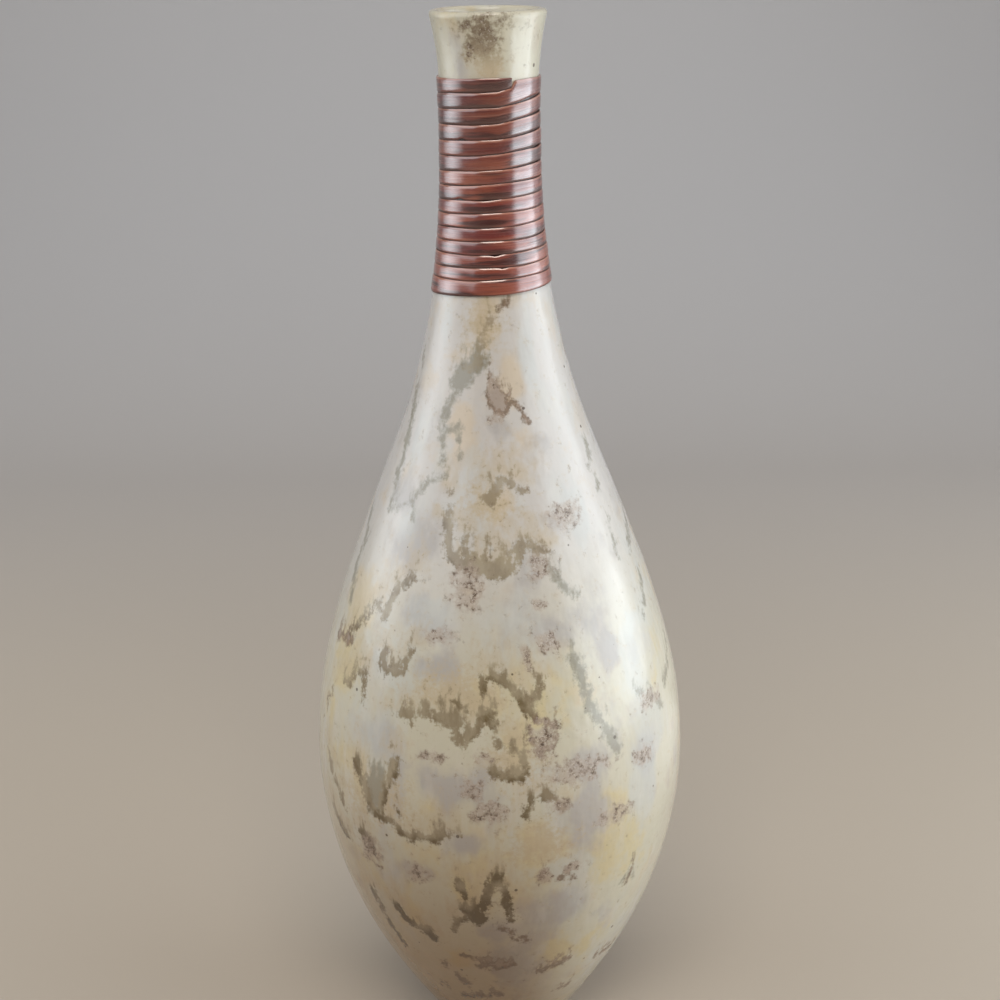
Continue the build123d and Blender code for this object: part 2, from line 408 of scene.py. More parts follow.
def strip_height(turn):
    """Height of the middle of the strip on the neck, where it has made a number of turns."""
    even = START_LEVEL + MEAN_PITCH * turn * (1 + PITCH_EASE * (turn / TURNS - 1))
    return even + strip_lift(turn)


def end_trim(turn):
    """How far the strip's upper edge is cut down towards its upper end, which lies level."""
    to_end = np.clip((TURNS - turn) / END_TAPER, 0, 1)
    narrowing = strip_pitch(turn) * (1 - END_WIDTH) * (1 - to_end)
    return narrowing + np.where(to_end < 1, strip_lift(turn), 0)


# How the marks and zones reach each point of the wall, kept on the mesh for the finish to read
MARK_REACH = 26.0
FINGER_RISE = 1.9
MM = 1000.0
points = np.empty(len(vase.data.vertices) * 3)
vase.data.vertices.foreach_get("co", points)
points = points.reshape(-1, 3) * MM
turned = np.degrees(np.arctan2(points[:, 0], -points[:, 1]))
levels = points[:, 2]
mm_per_degree = np.hypot(points[:, 0], points[:, 1]) * radians(1)


def from_front(angle):
    """Degrees from each point of the wall round to an angle, the short way."""
    return (angle - turned + 180) % 360 - 180


def keep_on_wall(name, values):
    """Keeps one value for each point of the wall's mesh."""
    attribute = vase.data.attributes.new(name, "FLOAT", "POINT")
    attribute.data.foreach_set("value", values.astype(np.float32))


def keep_marks(name, marks):
    """Keeps how deep each point lies in its nearest brush mark, and how far above the mark's line."""
    depth = np.full(len(levels), -MARK_REACH)
    above = np.zeros(len(levels))
    for half_width, *places in marks:
        for (angle, level), (next_angle, next_level) in zip(places, places[1:]):
            middle = (level + next_level) / 2
            span = MARK_REACH + abs(next_level - level)
            near = np.flatnonzero(np.abs(levels - middle) < span)
            scale = mm_per_degree[near]
            across = -from_front(angle)[near] * scale
            up = levels[near] - level
            run = (next_angle - angle) * scale
            rise = next_level - level
            share = np.clip((across * run + up * rise) / (run**2 + rise**2), 0, 1)
            across = across - share * run
            up = up - share * rise
            reach = half_width - np.hypot(across, np.where(up > 0, up / FINGER_RISE, up))
            nearest = reach > depth[near]
            depth[near[nearest]] = reach[nearest]
            above[near[nearest]] = up[nearest]
    keep_on_wall(name, depth)
    keep_on_wall(name + "_above", above)


def share_of_zones(zones):
    """How far each point lies in the zones: 1 at a middle, about a third at an edge, then fading out."""
    share = np.zeros(len(levels))
    for angle, level, half_angle, half_height in zones:
        away = (from_front(angle) / half_angle) ** 2 + ((levels - level) / half_height) ** 2
        share = np.maximum(share, np.exp(-away))
    return share


keep_marks("olive", olive_marks)
keep_marks("brown", brown_marks)
keep_marks("grey", grey_marks)
keep_on_wall("yellow", share_of_zones(yellow_zones))
keep_on_wall("haze", share_of_zones(haze_zones))
keep_on_wall("crawl", share_of_zones(crawl_zones))
keep_on_wall("stain_and_shade", share_of_zones(stain_and_shade_zones))
keep_on_wall("blue", share_of_zones(blue_zones))
keep_on_wall("pale", share_of_zones(shade_free_zones))

# The neck is painted dark where the strip covers it, from the strip's lowest turn to its highest one:
# painted shade, seen in the gaps between the turns
SHADE_MARGIN = 0.6
round_from_start = (np.arctan2(points[:, 1], points[:, 0]) - START_ANGLE) / (2 * pi) % 1
top_turn = round_from_start + np.floor(TURNS - round_from_start)
first_edge = strip_height(round_from_start) - strip_pitch(round_from_start) / 2
last_edge = strip_height(top_turn) + strip_pitch(top_turn) / 2 - end_trim(top_turn)
shade_from = first_edge * MM + SHADE_MARGIN
shade_to = last_edge * MM - SHADE_MARGIN * 2
under_strip_shade = np.clip(np.minimum(levels - shade_from, shade_to - levels) / SHADE_MARGIN, 0, 1)
outer_radii = np.interp(levels / MM, wall_heights, wall_radii)
outside = np.hypot(points[:, 0], points[:, 1]) / MM > outer_radii - WALL / 2
keep_on_wall("under_strip_shade", under_strip_shade * outside)


def paint(red, green, blue):
    """A colour as it is seen on a screen, each part from 0 to 255, turned into light."""
    return (*(((part / 255 + 0.055) / 1.055) ** 2.4 for part in (red, green, blue)), 1.0)


def add_node(finish, kind, inputs, output=0, **settings):
    """A node of a finish: each input is a value or another node's output. Gives one of its outputs."""
    node = finish.node_tree.nodes.new(kind)
    for name, value in settings.items():
        setattr(node, name, value)
    for name, value in inputs.items():
        if isinstance(value, bpy.types.NodeSocket):
            finish.node_tree.links.new(value, node.inputs[name])
        else:
            node.inputs[name].default_value = value
    return node.outputs[output]


def clouds(finish, where, scale, detail=3.0, roughness=0.55):
    """Soft clouds from 0 to 1, about as far apart as one over their scale."""
    settings = {"Vector": where, "Scale": scale, "Detail": detail, "Roughness": roughness}
    return add_node(finish, "ShaderNodeTexNoise", settings, "Fac")


def ramp(finish, value, start, end, low=0.0, high=1.0):
    """A smooth step from low to high as a value goes from start to end."""
    inputs = {"Value": value, "From Min": start, "From Max": end, "To Min": low, "To Max": high}
    return add_node(finish, "ShaderNodeMapRange", inputs, interpolation_type="SMOOTHSTEP")


def reckon(finish, way, first, second):
    """One step of arithmetic: ADD, MULTIPLY and so on."""
    return add_node(finish, "ShaderNodeMath", {0: first, 1: second}, operation=way)


def stir(finish, share, first, second):
    """One colour into another, by a share."""
    return add_node(finish, "ShaderNodeMix", {0: share, 6: first, 7: second}, 2, data_type="RGBA")


def kept(finish, name):
    """A value that the mesh keeps under a name."""
    return add_node(finish, "ShaderNodeAttribute", {}, "Fac", attribute_name=name)


def new_finish(name):
    """A finish with nothing set, and its shader."""
    finish = bpy.data.materials.new(name)
    finish.use_nodes = True
    shader = finish.node_tree.nodes["Principled BSDF"]
    return finish, shader


STONE = paint(206, 199, 178)
CREAM = paint(210, 195, 156)
HIGH_STONE = paint(206, 200, 194)
HIGH_CREAM = paint(210, 195, 175)
HAZE = paint(181, 175, 171)
PALE_BLUE = paint(198, 199, 195)
PALE_PINK = paint(206, 189, 166)
BEIGE_WASH_AND_SHADE = paint(198, 180, 150)
RIM_STAIN = paint(114, 92, 66)
LIGHT_OLIVE = paint(165, 151, 125)
OLIVE = paint(143, 127, 101)
OLIVE_BROWN = paint(106, 88, 57)
GREY_OLIVE = paint(146, 141, 126)
RED_BROWN = paint(142, 116, 94)
PINK_GREY = paint(172, 156, 144)
CRAWL_BROWN = paint(122, 101, 82)
SPECK_BROWN = paint(86, 69, 55)
PINK_CLAY = paint(184, 167, 152)
FLECK = paint(222, 214, 202)
# Painted shade for the neck under the binding, seen in the gaps between the turns
GAP_SHADE = paint(62, 32, 25)
FOOT_SHADE = paint(166, 132, 93)

glaze, glaze_shader = new_finish("mottled_glaze")
place = add_node(glaze, "ShaderNodeTexCoord", {}, "Object")
drawn_down = add_node(glaze, "ShaderNodeMapping", {"Vector": place, "Scale": (1, 1, 0.28)})

slow = clouds(glaze, place, 16, 4)
mottle = clouds(glaze, place, 58, 5, 0.6)
drift = clouds(glaze, drawn_down, 46, 4)
streaks = clouds(glaze, drawn_down, 120, 4, 0.6)
ragged = clouds(glaze, place, 230, 4, 0.6)
fingers = clouds(glaze, drawn_down, 300, 3)
grit = clouds(glaze, place, 520, 4, 0.65)
fine = clouds(glaze, place, 1100, 2)

# The ground: stone white, cream where the glaze is thick, grey and pale blue where it has run thin
creamy = reckon(glaze, "ADD", kept(glaze, "yellow"), ramp(glaze, slow, 0.3, 0.7, -0.6, 0.4))
creamy = reckon(glaze, "ADD", creamy, ramp(glaze, mottle, 0.3, 0.7, -0.35, 0.35))
wall_level = add_node(glaze, "ShaderNodeSeparateXYZ", {"Vector": place}, "Z")
above_belly = ramp(glaze, wall_level, 0.19, 0.29)
high = reckon(glaze, "MULTIPLY", above_belly, ramp(glaze, wall_level, 0.46, 0.44))
thin_glaze = stir(glaze, high, STONE, HIGH_STONE)
thick_glaze = stir(glaze, high, CREAM, HIGH_CREAM)
colour = stir(glaze, ramp(glaze, creamy, 0.15, 0.85), thin_glaze, thick_glaze)
colour = stir(glaze, ramp(glaze, mottle, 0.52, 0.66, 0, 0.4), colour, PALE_PINK)
hazy = reckon(glaze, "ADD", kept(glaze, "haze"), ramp(glaze, drift, 0.32, 0.68, -0.5, 0.4))
hazy = reckon(glaze, "ADD", hazy, ramp(glaze, mottle, 0.3, 0.7, -0.3, 0.3))
colour = stir(glaze, ramp(glaze, hazy, 0.1, 0.95, 0, 0.85), colour, HAZE)
wide_drift = clouds(glaze, drawn_down, 26, 4)
bluish = reckon(glaze, "ADD", kept(glaze, "blue"), ramp(glaze, wide_drift, 0.3, 0.7, -0.5, 0.6))
bluish = reckon(glaze, "ADD", bluish, ramp(glaze, streaks, 0.3, 0.7, -0.2, 0.2))
colour = stir(glaze, ramp(glaze, bluish, 0.15, 0.8, 0, 0.55), colour, PALE_BLUE)
colour = stir(glaze, ramp(glaze, streaks, 0.5, 0.68, 0, 0.22), colour, FLECK)
# Stains, with painted shade on the front of the neck just below the lip
stain_and_shade_share = reckon(glaze, "ADD", kept(glaze, "stain_and_shade"), ramp(glaze, ragged, 0.25, 0.75, -0.35, 0.35))
stain_and_shade_share = reckon(glaze, "ADD", stain_and_shade_share, ramp(glaze, grit, 0.3, 0.7, -0.25, 0.25))
stain_and_shade_tone = stir(glaze, ramp(glaze, wall_level, 0.474, 0.49), BEIGE_WASH_AND_SHADE, RIM_STAIN)
colour = stir(glaze, ramp(glaze, stain_and_shade_share, 0.1, 1.0, 0, 0.8), colour, stain_and_shade_tone)

# Brush marks: watery and broken at their edges, darkest in the puddles along their lower side, and drawn
# up into soft fingers along their upper one. Those high on the vase are fainter.
FINGER_HEIGHT = 4.0
FINGER_GAIN = 2.6
FINGER_SOFTNESS = 2.4
ragged_reach = ramp(glaze, ragged, 0.2, 0.8, -1.6, 1.6)
sponged_reach = reckon(glaze, "ADD", ragged_reach, ramp(glaze, grit, 0.25, 0.75, -0.9, 0.9))
finger_reach = ramp(glaze, fingers, 0.25, 0.75, -1.0, 1.0)


def brush_mark(name, softness):
    """How far a kind of brush mark covers the glaze, the depth in it, and how far above its line."""
    above = ramp(glaze, kept(glaze, name + "_above"), 0.0, FINGER_HEIGHT)
    finger_gain = reckon(glaze, "ADD", 1.0, reckon(glaze, "MULTIPLY", above, FINGER_GAIN))
    fingered = reckon(glaze, "MULTIPLY", finger_reach, finger_gain)
    depth = reckon(glaze, "ADD", kept(glaze, name), reckon(glaze, "ADD", sponged_reach, fingered))
    full = reckon(glaze, "ADD", softness, reckon(glaze, "MULTIPLY", above, FINGER_SOFTNESS))
    return ramp(glaze, depth, -softness, full), depth, above


olive_share, olive_depth, olive_above = brush_mark("olive", 1.15)
washed = reckon(glaze, "MULTIPLY", ramp(glaze, olive_depth, -9.0, 0.0, 0, 0.5), olive_above)
colour = stir(glaze, washed, colour, BEIGE_WASH_AND_SHADE)
grey_share = brush_mark("grey", 1.8)[0]
colour = stir(glaze, reckon(glaze, "MULTIPLY", grey_share, 0.8), colour, GREY_OLIVE)
olive_tone = stir(glaze, ramp(glaze, streaks, 0.36, 0.62), LIGHT_OLIVE, OLIVE)
puddle = ramp(glaze, kept(glaze, "olive_above"), -3.0, 5.0, 0.5, -0.3)
puddle = reckon(glaze, "ADD", puddle, ramp(glaze, mottle, 0.3, 0.7, -0.6, 0.6))
puddle = reckon(glaze, "ADD", puddle, ramp(glaze, wall_level, 0.2, 0.07, -0.1, 0.45))
olive_tone = stir(glaze, ramp(glaze, puddle, 0.1, 0.9), olive_tone, OLIVE_BROWN)
olive_strength = ramp(glaze, wall_level, 0.37, 0.2, 0.56, 0.95)
colour = stir(glaze, reckon(glaze, "MULTIPLY", olive_share, olive_strength), colour, olive_tone)
near_olive = ramp(glaze, olive_depth, -5.5, -1.0)
spatter = reckon(glaze, "MULTIPLY", ramp(glaze, grit, 0.61, 0.68, 0, 0.45), near_olive)
colour = stir(glaze, spatter, colour, olive_tone)

brown_share, brown_depth = brush_mark("brown", 1.3)[:2]
brown_tone = stir(glaze, ramp(glaze, grit, 0.42, 0.6), RED_BROWN, CRAWL_BROWN)
brown_tone = stir(glaze, ramp(glaze, brown_depth, 1.8, 3.6, 0, 0.9), brown_tone, PINK_GREY)
colour = stir(glaze, reckon(glaze, "MULTIPLY", brown_share, 0.85), colour, brown_tone)

# Where the glaze has crawled: a pinkish wash, brown grit that clots, dark pits and pale flecks
crawl = reckon(glaze, "ADD", kept(glaze, "crawl"), ramp(glaze, ragged, 0.25, 0.75, -0.6, 0.5))
crawled = ramp(glaze, crawl, 0.2, 0.9)
in_crawl_zone = ramp(glaze, kept(glaze, "crawl"), 0.1, 0.5)
crawl_wash = reckon(glaze, "MULTIPLY", ramp(glaze, crawl, 0.0, 0.7, 0, 0.65), in_crawl_zone)
crawl_wash = reckon(glaze, "MULTIPLY", crawl_wash, ramp(glaze, wall_level, 0.46, 0.45))
colour = stir(glaze, crawl_wash, colour, PINK_CLAY)
clots = clouds(glaze, place, 340, 5, 0.72)
net_share = reckon(glaze, "MULTIPLY", ramp(glaze, clots, 0.45, 0.6, 0, 0.75), crawled)
colour = stir(glaze, net_share, colour, CRAWL_BROWN)
pits = reckon(glaze, "MULTIPLY", ramp(glaze, clots, 0.57, 0.65, 0, 0.8), crawled)
colour = stir(glaze, pits, colour, SPECK_BROWN)
flecks = reckon(glaze, "MULTIPLY", ramp(glaze, fine, 0.42, 0.34, 0, 0.45), crawled)
colour = stir(glaze, flecks, colour, FLECK)

# Small dark specks all over, one here and there
speck_cells = {"Vector": place, "Scale": 150.0}
speck_distance = add_node(glaze, "ShaderNodeTexVoronoi", speck_cells, "Distance")
speck_pick = add_node(glaze, "ShaderNodeTexVoronoi", speck_cells, "Color")
speck_pick = add_node(glaze, "ShaderNodeSeparateColor", {"Color": speck_pick})
speck_size = ramp(glaze, speck_pick, 0.78, 1.0, 0, 0.16)
specks = ramp(glaze, reckon(glaze, "SUBTRACT", speck_distance, speck_size), 0.0, -0.05, 0, 0.8)
colour = stir(glaze, specks, colour, SPECK_BROWN)

# Painted shade, warm and dark, towards the foot; it is lifted on a few sides, most on the lower right
# where the lamps fall. Under the binding the neck is painted dark, as shade in the gaps between the
# turns.
shade_kept = ramp(glaze, kept(glaze, "pale"), 0, 1, 1, 0.08)
foot_shade_share = reckon(glaze, "MULTIPLY", ramp(glaze, wall_level, 0.21, 0.02, 0, 0.9), shade_kept)
foot_shade_mix = {0: foot_shade_share, 6: colour, 7: FOOT_SHADE}
colour = add_node(glaze, "ShaderNodeMix", foot_shade_mix, 2, data_type="RGBA", blend_type="MULTIPLY")
colour = stir(glaze, ramp(glaze, kept(glaze, "under_strip_shade"), 0.3, 0.7), colour, GAP_SHADE)

finish_links = glaze.node_tree.links
finish_links.new(colour, glaze_shader.inputs["Base Color"])
finish_links.new(ramp(glaze, drift, 0.3, 0.7, 0.17, 0.27), glaze_shader.inputs["Roughness"])
sunk_net = reckon(glaze, "MULTIPLY", net_share, -0.4)
glaze_height = reckon(glaze, "ADD", clouds(glaze, place, 90, 2), sunk_net)
glaze_height = reckon(glaze, "ADD", glaze_height, clouds(glaze, drawn_down, 75, 3))
glaze_relief = {"Height": glaze_height, "Strength": 0.6, "Distance": 0.0008}
finish_links.new(add_node(glaze, "ShaderNodeBump", glaze_relief), glaze_shader.inputs["Normal"])
finish_links.new(ramp(glaze, mottle, 0.35, 0.65, 0.7, 0.45), glaze_shader.inputs["Coat Weight"])
glaze_shader.inputs["IOR"].default_value = 1.5
glaze_shader.inputs["Coat Roughness"].default_value = 0.26

CLAY = paint(176, 150, 122)
DARK_CLAY = paint(146, 118, 92)
clay, clay_shader = new_finish("bare_clay")
clay_place = add_node(clay, "ShaderNodeTexCoord", {}, "Object")
clay_grain = clouds(clay, clay_place, 420, 5, 0.65)
clay_colour = stir(clay, ramp(clay, clay_grain, 0.3, 0.7), DARK_CLAY, CLAY)
clay.node_tree.links.new(clay_colour, clay_shader.inputs["Base Color"])
clay_relief = {"Height": clay_grain, "Strength": 0.4, "Distance": 0.0004}
clay.node_tree.links.new(add_node(clay, "ShaderNodeBump", clay_relief), clay_shader.inputs["Normal"])
clay_shader.inputs["Roughness"].default_value = 0.85

# The glaze goes over the lip and a little way down inside the neck. The rest of the inside and the foot
# are bare.
GLAZE_INSIDE_LEVEL = 0.452
BARE_FOOT_LEVEL = 0.0012
INSIDE_FLOOR_REACH = 0.1
NEARLY_FLAT = 0.95
vase.data.materials.append(glaze)
vase.data.materials.append(clay)
for face in vase.data.polygons:
    outward = face.normal.x * face.center.x + face.normal.y * face.center.y
    inside = outward < 0 and face.center.z < GLAZE_INSIDE_LEVEL
    foot = face.center.z < BARE_FOOT_LEVEL
    flat_floor = abs(face.normal.z) > NEARLY_FLAT and face.center.z < INSIDE_FLOOR_REACH
    face.material_index = 1 if inside or foot or flat_floor else 0

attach(vase, "root")
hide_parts("vase_body")

# The binding: one long strip of split cane, stained red-brown and varnished, wound round the neck
# edge beside edge and glued on by its flat back. Its face is crowned, and its upper end is trimmed narrow
# and cut square. A flat grid is the strip as it comes off the reel: its length is then wound up the neck.
STEPS_PER_TURN = 96
CROWN_CELLS = 12
BACK_CELLS = 3
TURN_GAP = 0.00018
GLUE_GAP = 0.0002
CROWN = 0.0010
CROWN_SQUARENESS = 4
CROWN_WAVE = 0.09
CROWN_WAVE_LENGTHS = (0.13, 0.31, 0.9, 2.7)
CROWN_SEED = 5
EDGE_SHARE = 0.66
EDGE_ANGLE = radians(50)
END_STEP = 0.0030
END_STEP_START = 0.012
END_STEP_TURNS = 0.17
SEAM_DRIFT = 0.0003
SEAM_WAVE_LENGTHS = (0.29, 0.53, 0.91, 2.3)
SEAM_SEED = 3
START_FLARE = 0.0024
START_FLARE_TURNS = 0.85
WAVE_GAIN = 1.6

strip_steps = round(TURNS * STEPS_PER_TURN)
strip_cells = CROWN_CELLS + BACK_CELLS
bpy.ops.object.select_all(action="DESELECT")
bpy.ops.mesh.primitive_grid_add(x_subdivisions=strip_steps, y_subdivisions=strip_cells, size=1.0)
binding = bpy.context.object
binding.name = "cane_binding"
flat = np.empty(len(binding.data.vertices) * 3)
binding.data.vertices.foreach_get("co", flat)
flat = flat.reshape(-1, 3)
turn = (flat[:, 0] + 0.5) * TURNS
column = np.rint((flat[:, 1] + 0.5) * strip_cells).astype(int)


def waves(along, lengths, seed):
    """Gentle unevenness along the strip, about one either way: waves of a few lengths, in turns."""
    phases = np.random.default_rng(seed).uniform(0, 2 * pi, len(lengths))
    total = sum(np.sin(2 * pi * along / length + phase) for length, phase in zip(lengths, phases))
    return total / len(lengths) * WAVE_GAIN


# Nicks in the strip's edges: place in turns, edge (1 upper, -1 lower), depth, half the length in turns
nicks = (
    (13.57, -1, 0.0007, 0.045), (12.63, -1, 0.0006, 0.05), (11.33, -1, 0.0009, 0.012),
    (7.32, -1, 0.0008, 0.014), (6.4, 1, 0.0004, 0.03), (2.43, 1, 0.0006, 0.012),
    (1.45, 1, 0.0005, 0.010), (3.2, -1, 0.0006, 0.03), (9.6, 1, 0.0004, 0.03), (4.62, -1, 0.0004, 0.04),
)
pitch = strip_pitch(turn)
strip_level = strip_height(turn)


def seam_drift(along):
    """How far the seam below the strip strays from its even place."""
    return SEAM_DRIFT * waves(along, SEAM_WAVE_LENGTHS, SEAM_SEED)


upper_half = (pitch - TURN_GAP) / 2 + seam_drift(turn + 1)
lower_half = (pitch - TURN_GAP) / 2 - seam_drift(turn)
for place_in_turns, edge, nick_depth, nick_length in nicks:
    bite = nick_depth * np.exp(-(((turn - place_in_turns) / nick_length) ** 2))
    if edge > 0:
        upper_half = upper_half - bite
    else:
        lower_half = lower_half - bite
past_end = turn + 1 - TURNS
end_step = np.clip(past_end / END_STEP_START, 0, 1) * np.clip(1 - past_end / END_STEP_TURNS, 0, 1)
upper_half = upper_half + END_STEP * end_step
upper_half = upper_half - end_trim(turn)
lower_half = lower_half + START_FLARE * np.clip(1 - turn / START_FLARE_TURNS, 0, 1)
thick = CROWN * (1 + CROWN_WAVE * waves(turn, CROWN_WAVE_LENGTHS, CROWN_SEED))

# Across the strip: the crowned face from its lower edge to its upper one, then round the flat back
across = np.clip(2 * column / CROWN_CELLS - 1, -1, 1)
crowned = EDGE_SHARE + (1 - EDGE_SHARE) * np.sqrt(1 - np.abs(across) ** CROWN_SQUARENESS)
back = (column > CROWN_CELLS) & (column < strip_cells)
across = np.where(back, np.where(column == CROWN_CELLS + 1, 1, -1), across)
across = np.where(column == strip_cells, -1, across)
crowned = np.where(column == strip_cells, EDGE_SHARE, crowned)
out = GLUE_GAP + np.where(back, 0, thick * crowned)
up = np.where(across > 0, upper_half, lower_half) * across

neck_radius = np.interp(strip_level, wall_heights, wall_radii)
wall_slopes = np.gradient(wall_radii, wall_heights)
neck_lean = np.arctan(np.interp(strip_level, wall_heights, wall_slopes))
wound_radius = neck_radius + out * np.cos(neck_lean) + up * np.sin(neck_lean)
wound_level = strip_level - out * np.sin(neck_lean) + up * np.cos(neck_lean)
wound_angle = START_ANGLE + 2 * pi * turn
wound_x = wound_radius * np.cos(wound_angle)
wound_y = wound_radius * np.sin(wound_angle)
wound = np.column_stack((wound_x, wound_y, wound_level))
binding.data.vertices.foreach_set("co", wound.ravel())

# The strip's own map: along it in metres, and across its face from the lower edge to the upper one
strip_metres = 2 * pi * np.mean(neck_radius) * turn
map_places = np.column_stack((strip_metres, (across + 1) / 2))
corners = np.empty(len(binding.data.loops), int)
binding.data.loops.foreach_get("vertex_index", corners)
strip_map = binding.data.uv_layers.active or binding.data.uv_layers.new(name="strip")
strip_map.data.foreach_set("uv", map_places[corners].ravel())

bpy.ops.object.mode_set(mode="EDIT")
bpy.ops.mesh.select_all(action="SELECT")
bpy.ops.mesh.remove_doubles(threshold=MERGE_REACH)
bpy.ops.mesh.select_all(action="DESELECT")
bpy.ops.mesh.select_mode(type="EDGE")
bpy.ops.mesh.select_non_manifold()
bpy.ops.mesh.fill()
bpy.ops.mesh.select_all(action="SELECT")
bpy.ops.mesh.normals_make_consistent(inside=False)
bpy.ops.object.mode_set(mode="OBJECT")
bpy.ops.object.shade_smooth_by_angle(angle=EDGE_ANGLE)

DARK_CANE = paint(54, 12, 9)
RED_CANE = paint(118, 40, 33)
ORANGE_CANE = paint(158, 80, 56)
# Pale cane for the grain streaks, and for the painted highlight on the turns' upper edges
PALE_GRAIN_AND_SHEEN = paint(200, 142, 118)
LOW_EDGE_SHADE = paint(50, 22, 18)
PINK_SHEEN = paint(255, 218, 214)

cane, cane_shader = new_finish("stained_cane")
strip_place = add_node(cane, "ShaderNodeUVMap", {}, uv_map=strip_map.name)
along_strip = add_node(cane, "ShaderNodeSeparateXYZ", {"Vector": strip_place}, "X")
over_strip = add_node(cane, "ShaderNodeSeparateXYZ", {"Vector": strip_place}, "Y")


def cane_clouds(along, over, detail=3.0, roughness=0.55):
    """Clouds stretched along the strip: how many to a metre of it, and how many over its width."""
    stretched = add_node(cane, "ShaderNodeMapping", {"Vector": strip_place, "Scale": (along, over, 1)})
    return clouds(cane, stretched, 1.0, detail, roughness)


grain = cane_clouds(45, 26, 3, 0.6)
long_grain = cane_clouds(14, 9)
patches = cane_clouds(22, 0.7)
deep = cane_clouds(34, 1.6, 2)

cane_colour = stir(cane, ramp(cane, patches, 0.42, 0.6), RED_CANE, ORANGE_CANE)
cane_colour = stir(cane, ramp(cane, along_strip, 0.5, 0.2, 0, 0.6), cane_colour, ORANGE_CANE)
cane_colour = stir(cane, ramp(cane, along_strip, 0.8, 2.0, 0, 0.44), cane_colour, DARK_CANE)
# Dark smears in the stain, leaning to the lower side of each turn as painted shade
smear_and_low_shade = reckon(cane, "ADD", deep, ramp(cane, over_strip, 0.0, 1.0, 0.04, -0.05))
cane_colour = stir(cane, ramp(cane, smear_and_low_shade, 0.48, 0.62, 0, 0.9), cane_colour, DARK_CANE)
cane_colour = stir(cane, ramp(cane, grain, 0.48, 0.7, 0, 0.55), cane_colour, DARK_CANE)
cane_colour = stir(cane, ramp(cane, long_grain, 0.55, 0.75, 0, 0.35), cane_colour, PALE_GRAIN_AND_SHEEN)
# Painted highlight: a pale line along the upper edge of each turn, where light from above catches it
sheen_patches = ramp(cane, patches, 0.3, 0.6, 0.2, 0.6)
lit_upper_edge = reckon(cane, "MULTIPLY", ramp(cane, over_strip, 0.84, 0.95), sheen_patches)
cane_colour = stir(cane, lit_upper_edge, cane_colour, PALE_GRAIN_AND_SHEEN)
# Painted shade along the lower edge of each turn, beside the seam below it
low_shade_patches = ramp(cane, deep, 0.3, 0.6, 0.4, 0.95)
shaded_low_edge = reckon(cane, "MULTIPLY", ramp(cane, over_strip, 0.12, 0.03), low_shade_patches)
cane_colour = stir(cane, shaded_low_edge, cane_colour, LOW_EDGE_SHADE)

cane_links = cane.node_tree.links
cane_links.new(cane_colour, cane_shader.inputs["Base Color"])
cane_links.new(ramp(cane, grain, 0.3, 0.7, 0.24, 0.4), cane_shader.inputs["Roughness"])
cane_relief = {"Height": reckon(cane, "ADD", grain, long_grain), "Strength": 0.5, "Distance": 0.00025}
cane_links.new(add_node(cane, "ShaderNodeBump", cane_relief), cane_shader.inputs["Normal"])
fibres = cane_clouds(16, 6, 3, 0.6)
varnished = ramp(cane, over_strip, 0.02, 0.2, 0.1, 1.0)
varnish = reckon(cane, "MULTIPLY", ramp(cane, fibres, 0.52, 0.66, 1.0, 0.65), varnished)
cane_links.new(varnish, cane_shader.inputs["Coat Weight"])
cane_shader.inputs["Coat Roughness"].default_value = 0.14
cane_shader.inputs["Coat IOR"].default_value = 2.15
cane_shader.inputs["Specular IOR Level"].default_value = 1.0
cane_shader.inputs["Specular Tint"].default_value = PINK_SHEEN
binding.data.materials.append(cane)

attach(binding, "root")
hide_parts("neck_binding")

# The floor: a plain pale sheet, warmer before the vase and greyer behind it. It lies under the foot
# and sweeps up at the back in one round bend.
SHEET_WIDTH = 12.0
SHEET_FRONT = 5.0
SWEEP_BACK = 1.6
SWEEP_HEIGHT = 3.0
SWEEP_ROUND = 0.7
SWEEP_SEGMENTS = 24
bpy.ops.object.select_all(action="DESELECT")
bpy.ops.mesh.primitive_plane_add(size=1, location=(0, (SWEEP_BACK - SHEET_FRONT) / 2, 0))
bpy.ops.transform.resize(value=(SHEET_WIDTH, SWEEP_BACK + SHEET_FRONT, 1))
floor = bpy.context.object
floor.name = "pale_floor"
bpy.ops.object.transform_apply(location=True, rotation=False, scale=True)
for edge in floor.data.edges:
    ends = [floor.data.vertices[index].co.y for index in edge.vertices]
    edge.select = min(ends) > SWEEP_BACK - MERGE_REACH
for vertex in floor.data.vertices:
    vertex.select = vertex.co.y > SWEEP_BACK - MERGE_REACH
for face in floor.data.polygons:
    face.select = False
bpy.ops.object.mode_set(mode="EDIT")
bpy.ops.mesh.select_mode(type="EDGE")
bpy.ops.mesh.extrude_region_move(TRANSFORM_OT_translate={"value": (0, 0, SWEEP_HEIGHT)})
bpy.ops.object.mode_set(mode="OBJECT")
for edge in floor.data.edges:
    ends = [floor.data.vertices[index].co for index in edge.vertices]
    edge.select = all(end.y > SWEEP_BACK - MERGE_REACH and end.z < MERGE_REACH for end in ends)
bpy.ops.object.mode_set(mode="EDIT")
bpy.ops.mesh.bevel(offset=SWEEP_ROUND, segments=SWEEP_SEGMENTS)
bpy.ops.object.mode_set(mode="OBJECT")
bpy.ops.object.shade_smooth()

WARM_UP_TO = 0.2
WARM_FLOOR = paint(186, 174, 159)
GREY_BACK = paint(216, 214, 215)
sheet, sheet_shader = new_finish("pale_sheet")
sheet_place = add_node(sheet, "ShaderNodeTexCoord", {}, "Object")
sheet_depth = add_node(sheet, "ShaderNodeSeparateXYZ", {"Vector": sheet_place}, "Y")
sheet_colour = stir(sheet, ramp(sheet, sheet_depth, WARM_UP_TO, SWEEP_BACK), WARM_FLOOR, GREY_BACK)
sheet.node_tree.links.new(sheet_colour, sheet_shader.inputs["Base Color"])
sheet_shader.inputs["Roughness"].default_value = 0.9
floor.data.materials.append(sheet)

# Studio light: soft panels, of which three stand on the right like a wide window, one lies on the floor
# below them, two cool ones stand on the left, and a warm one hangs above the camera.


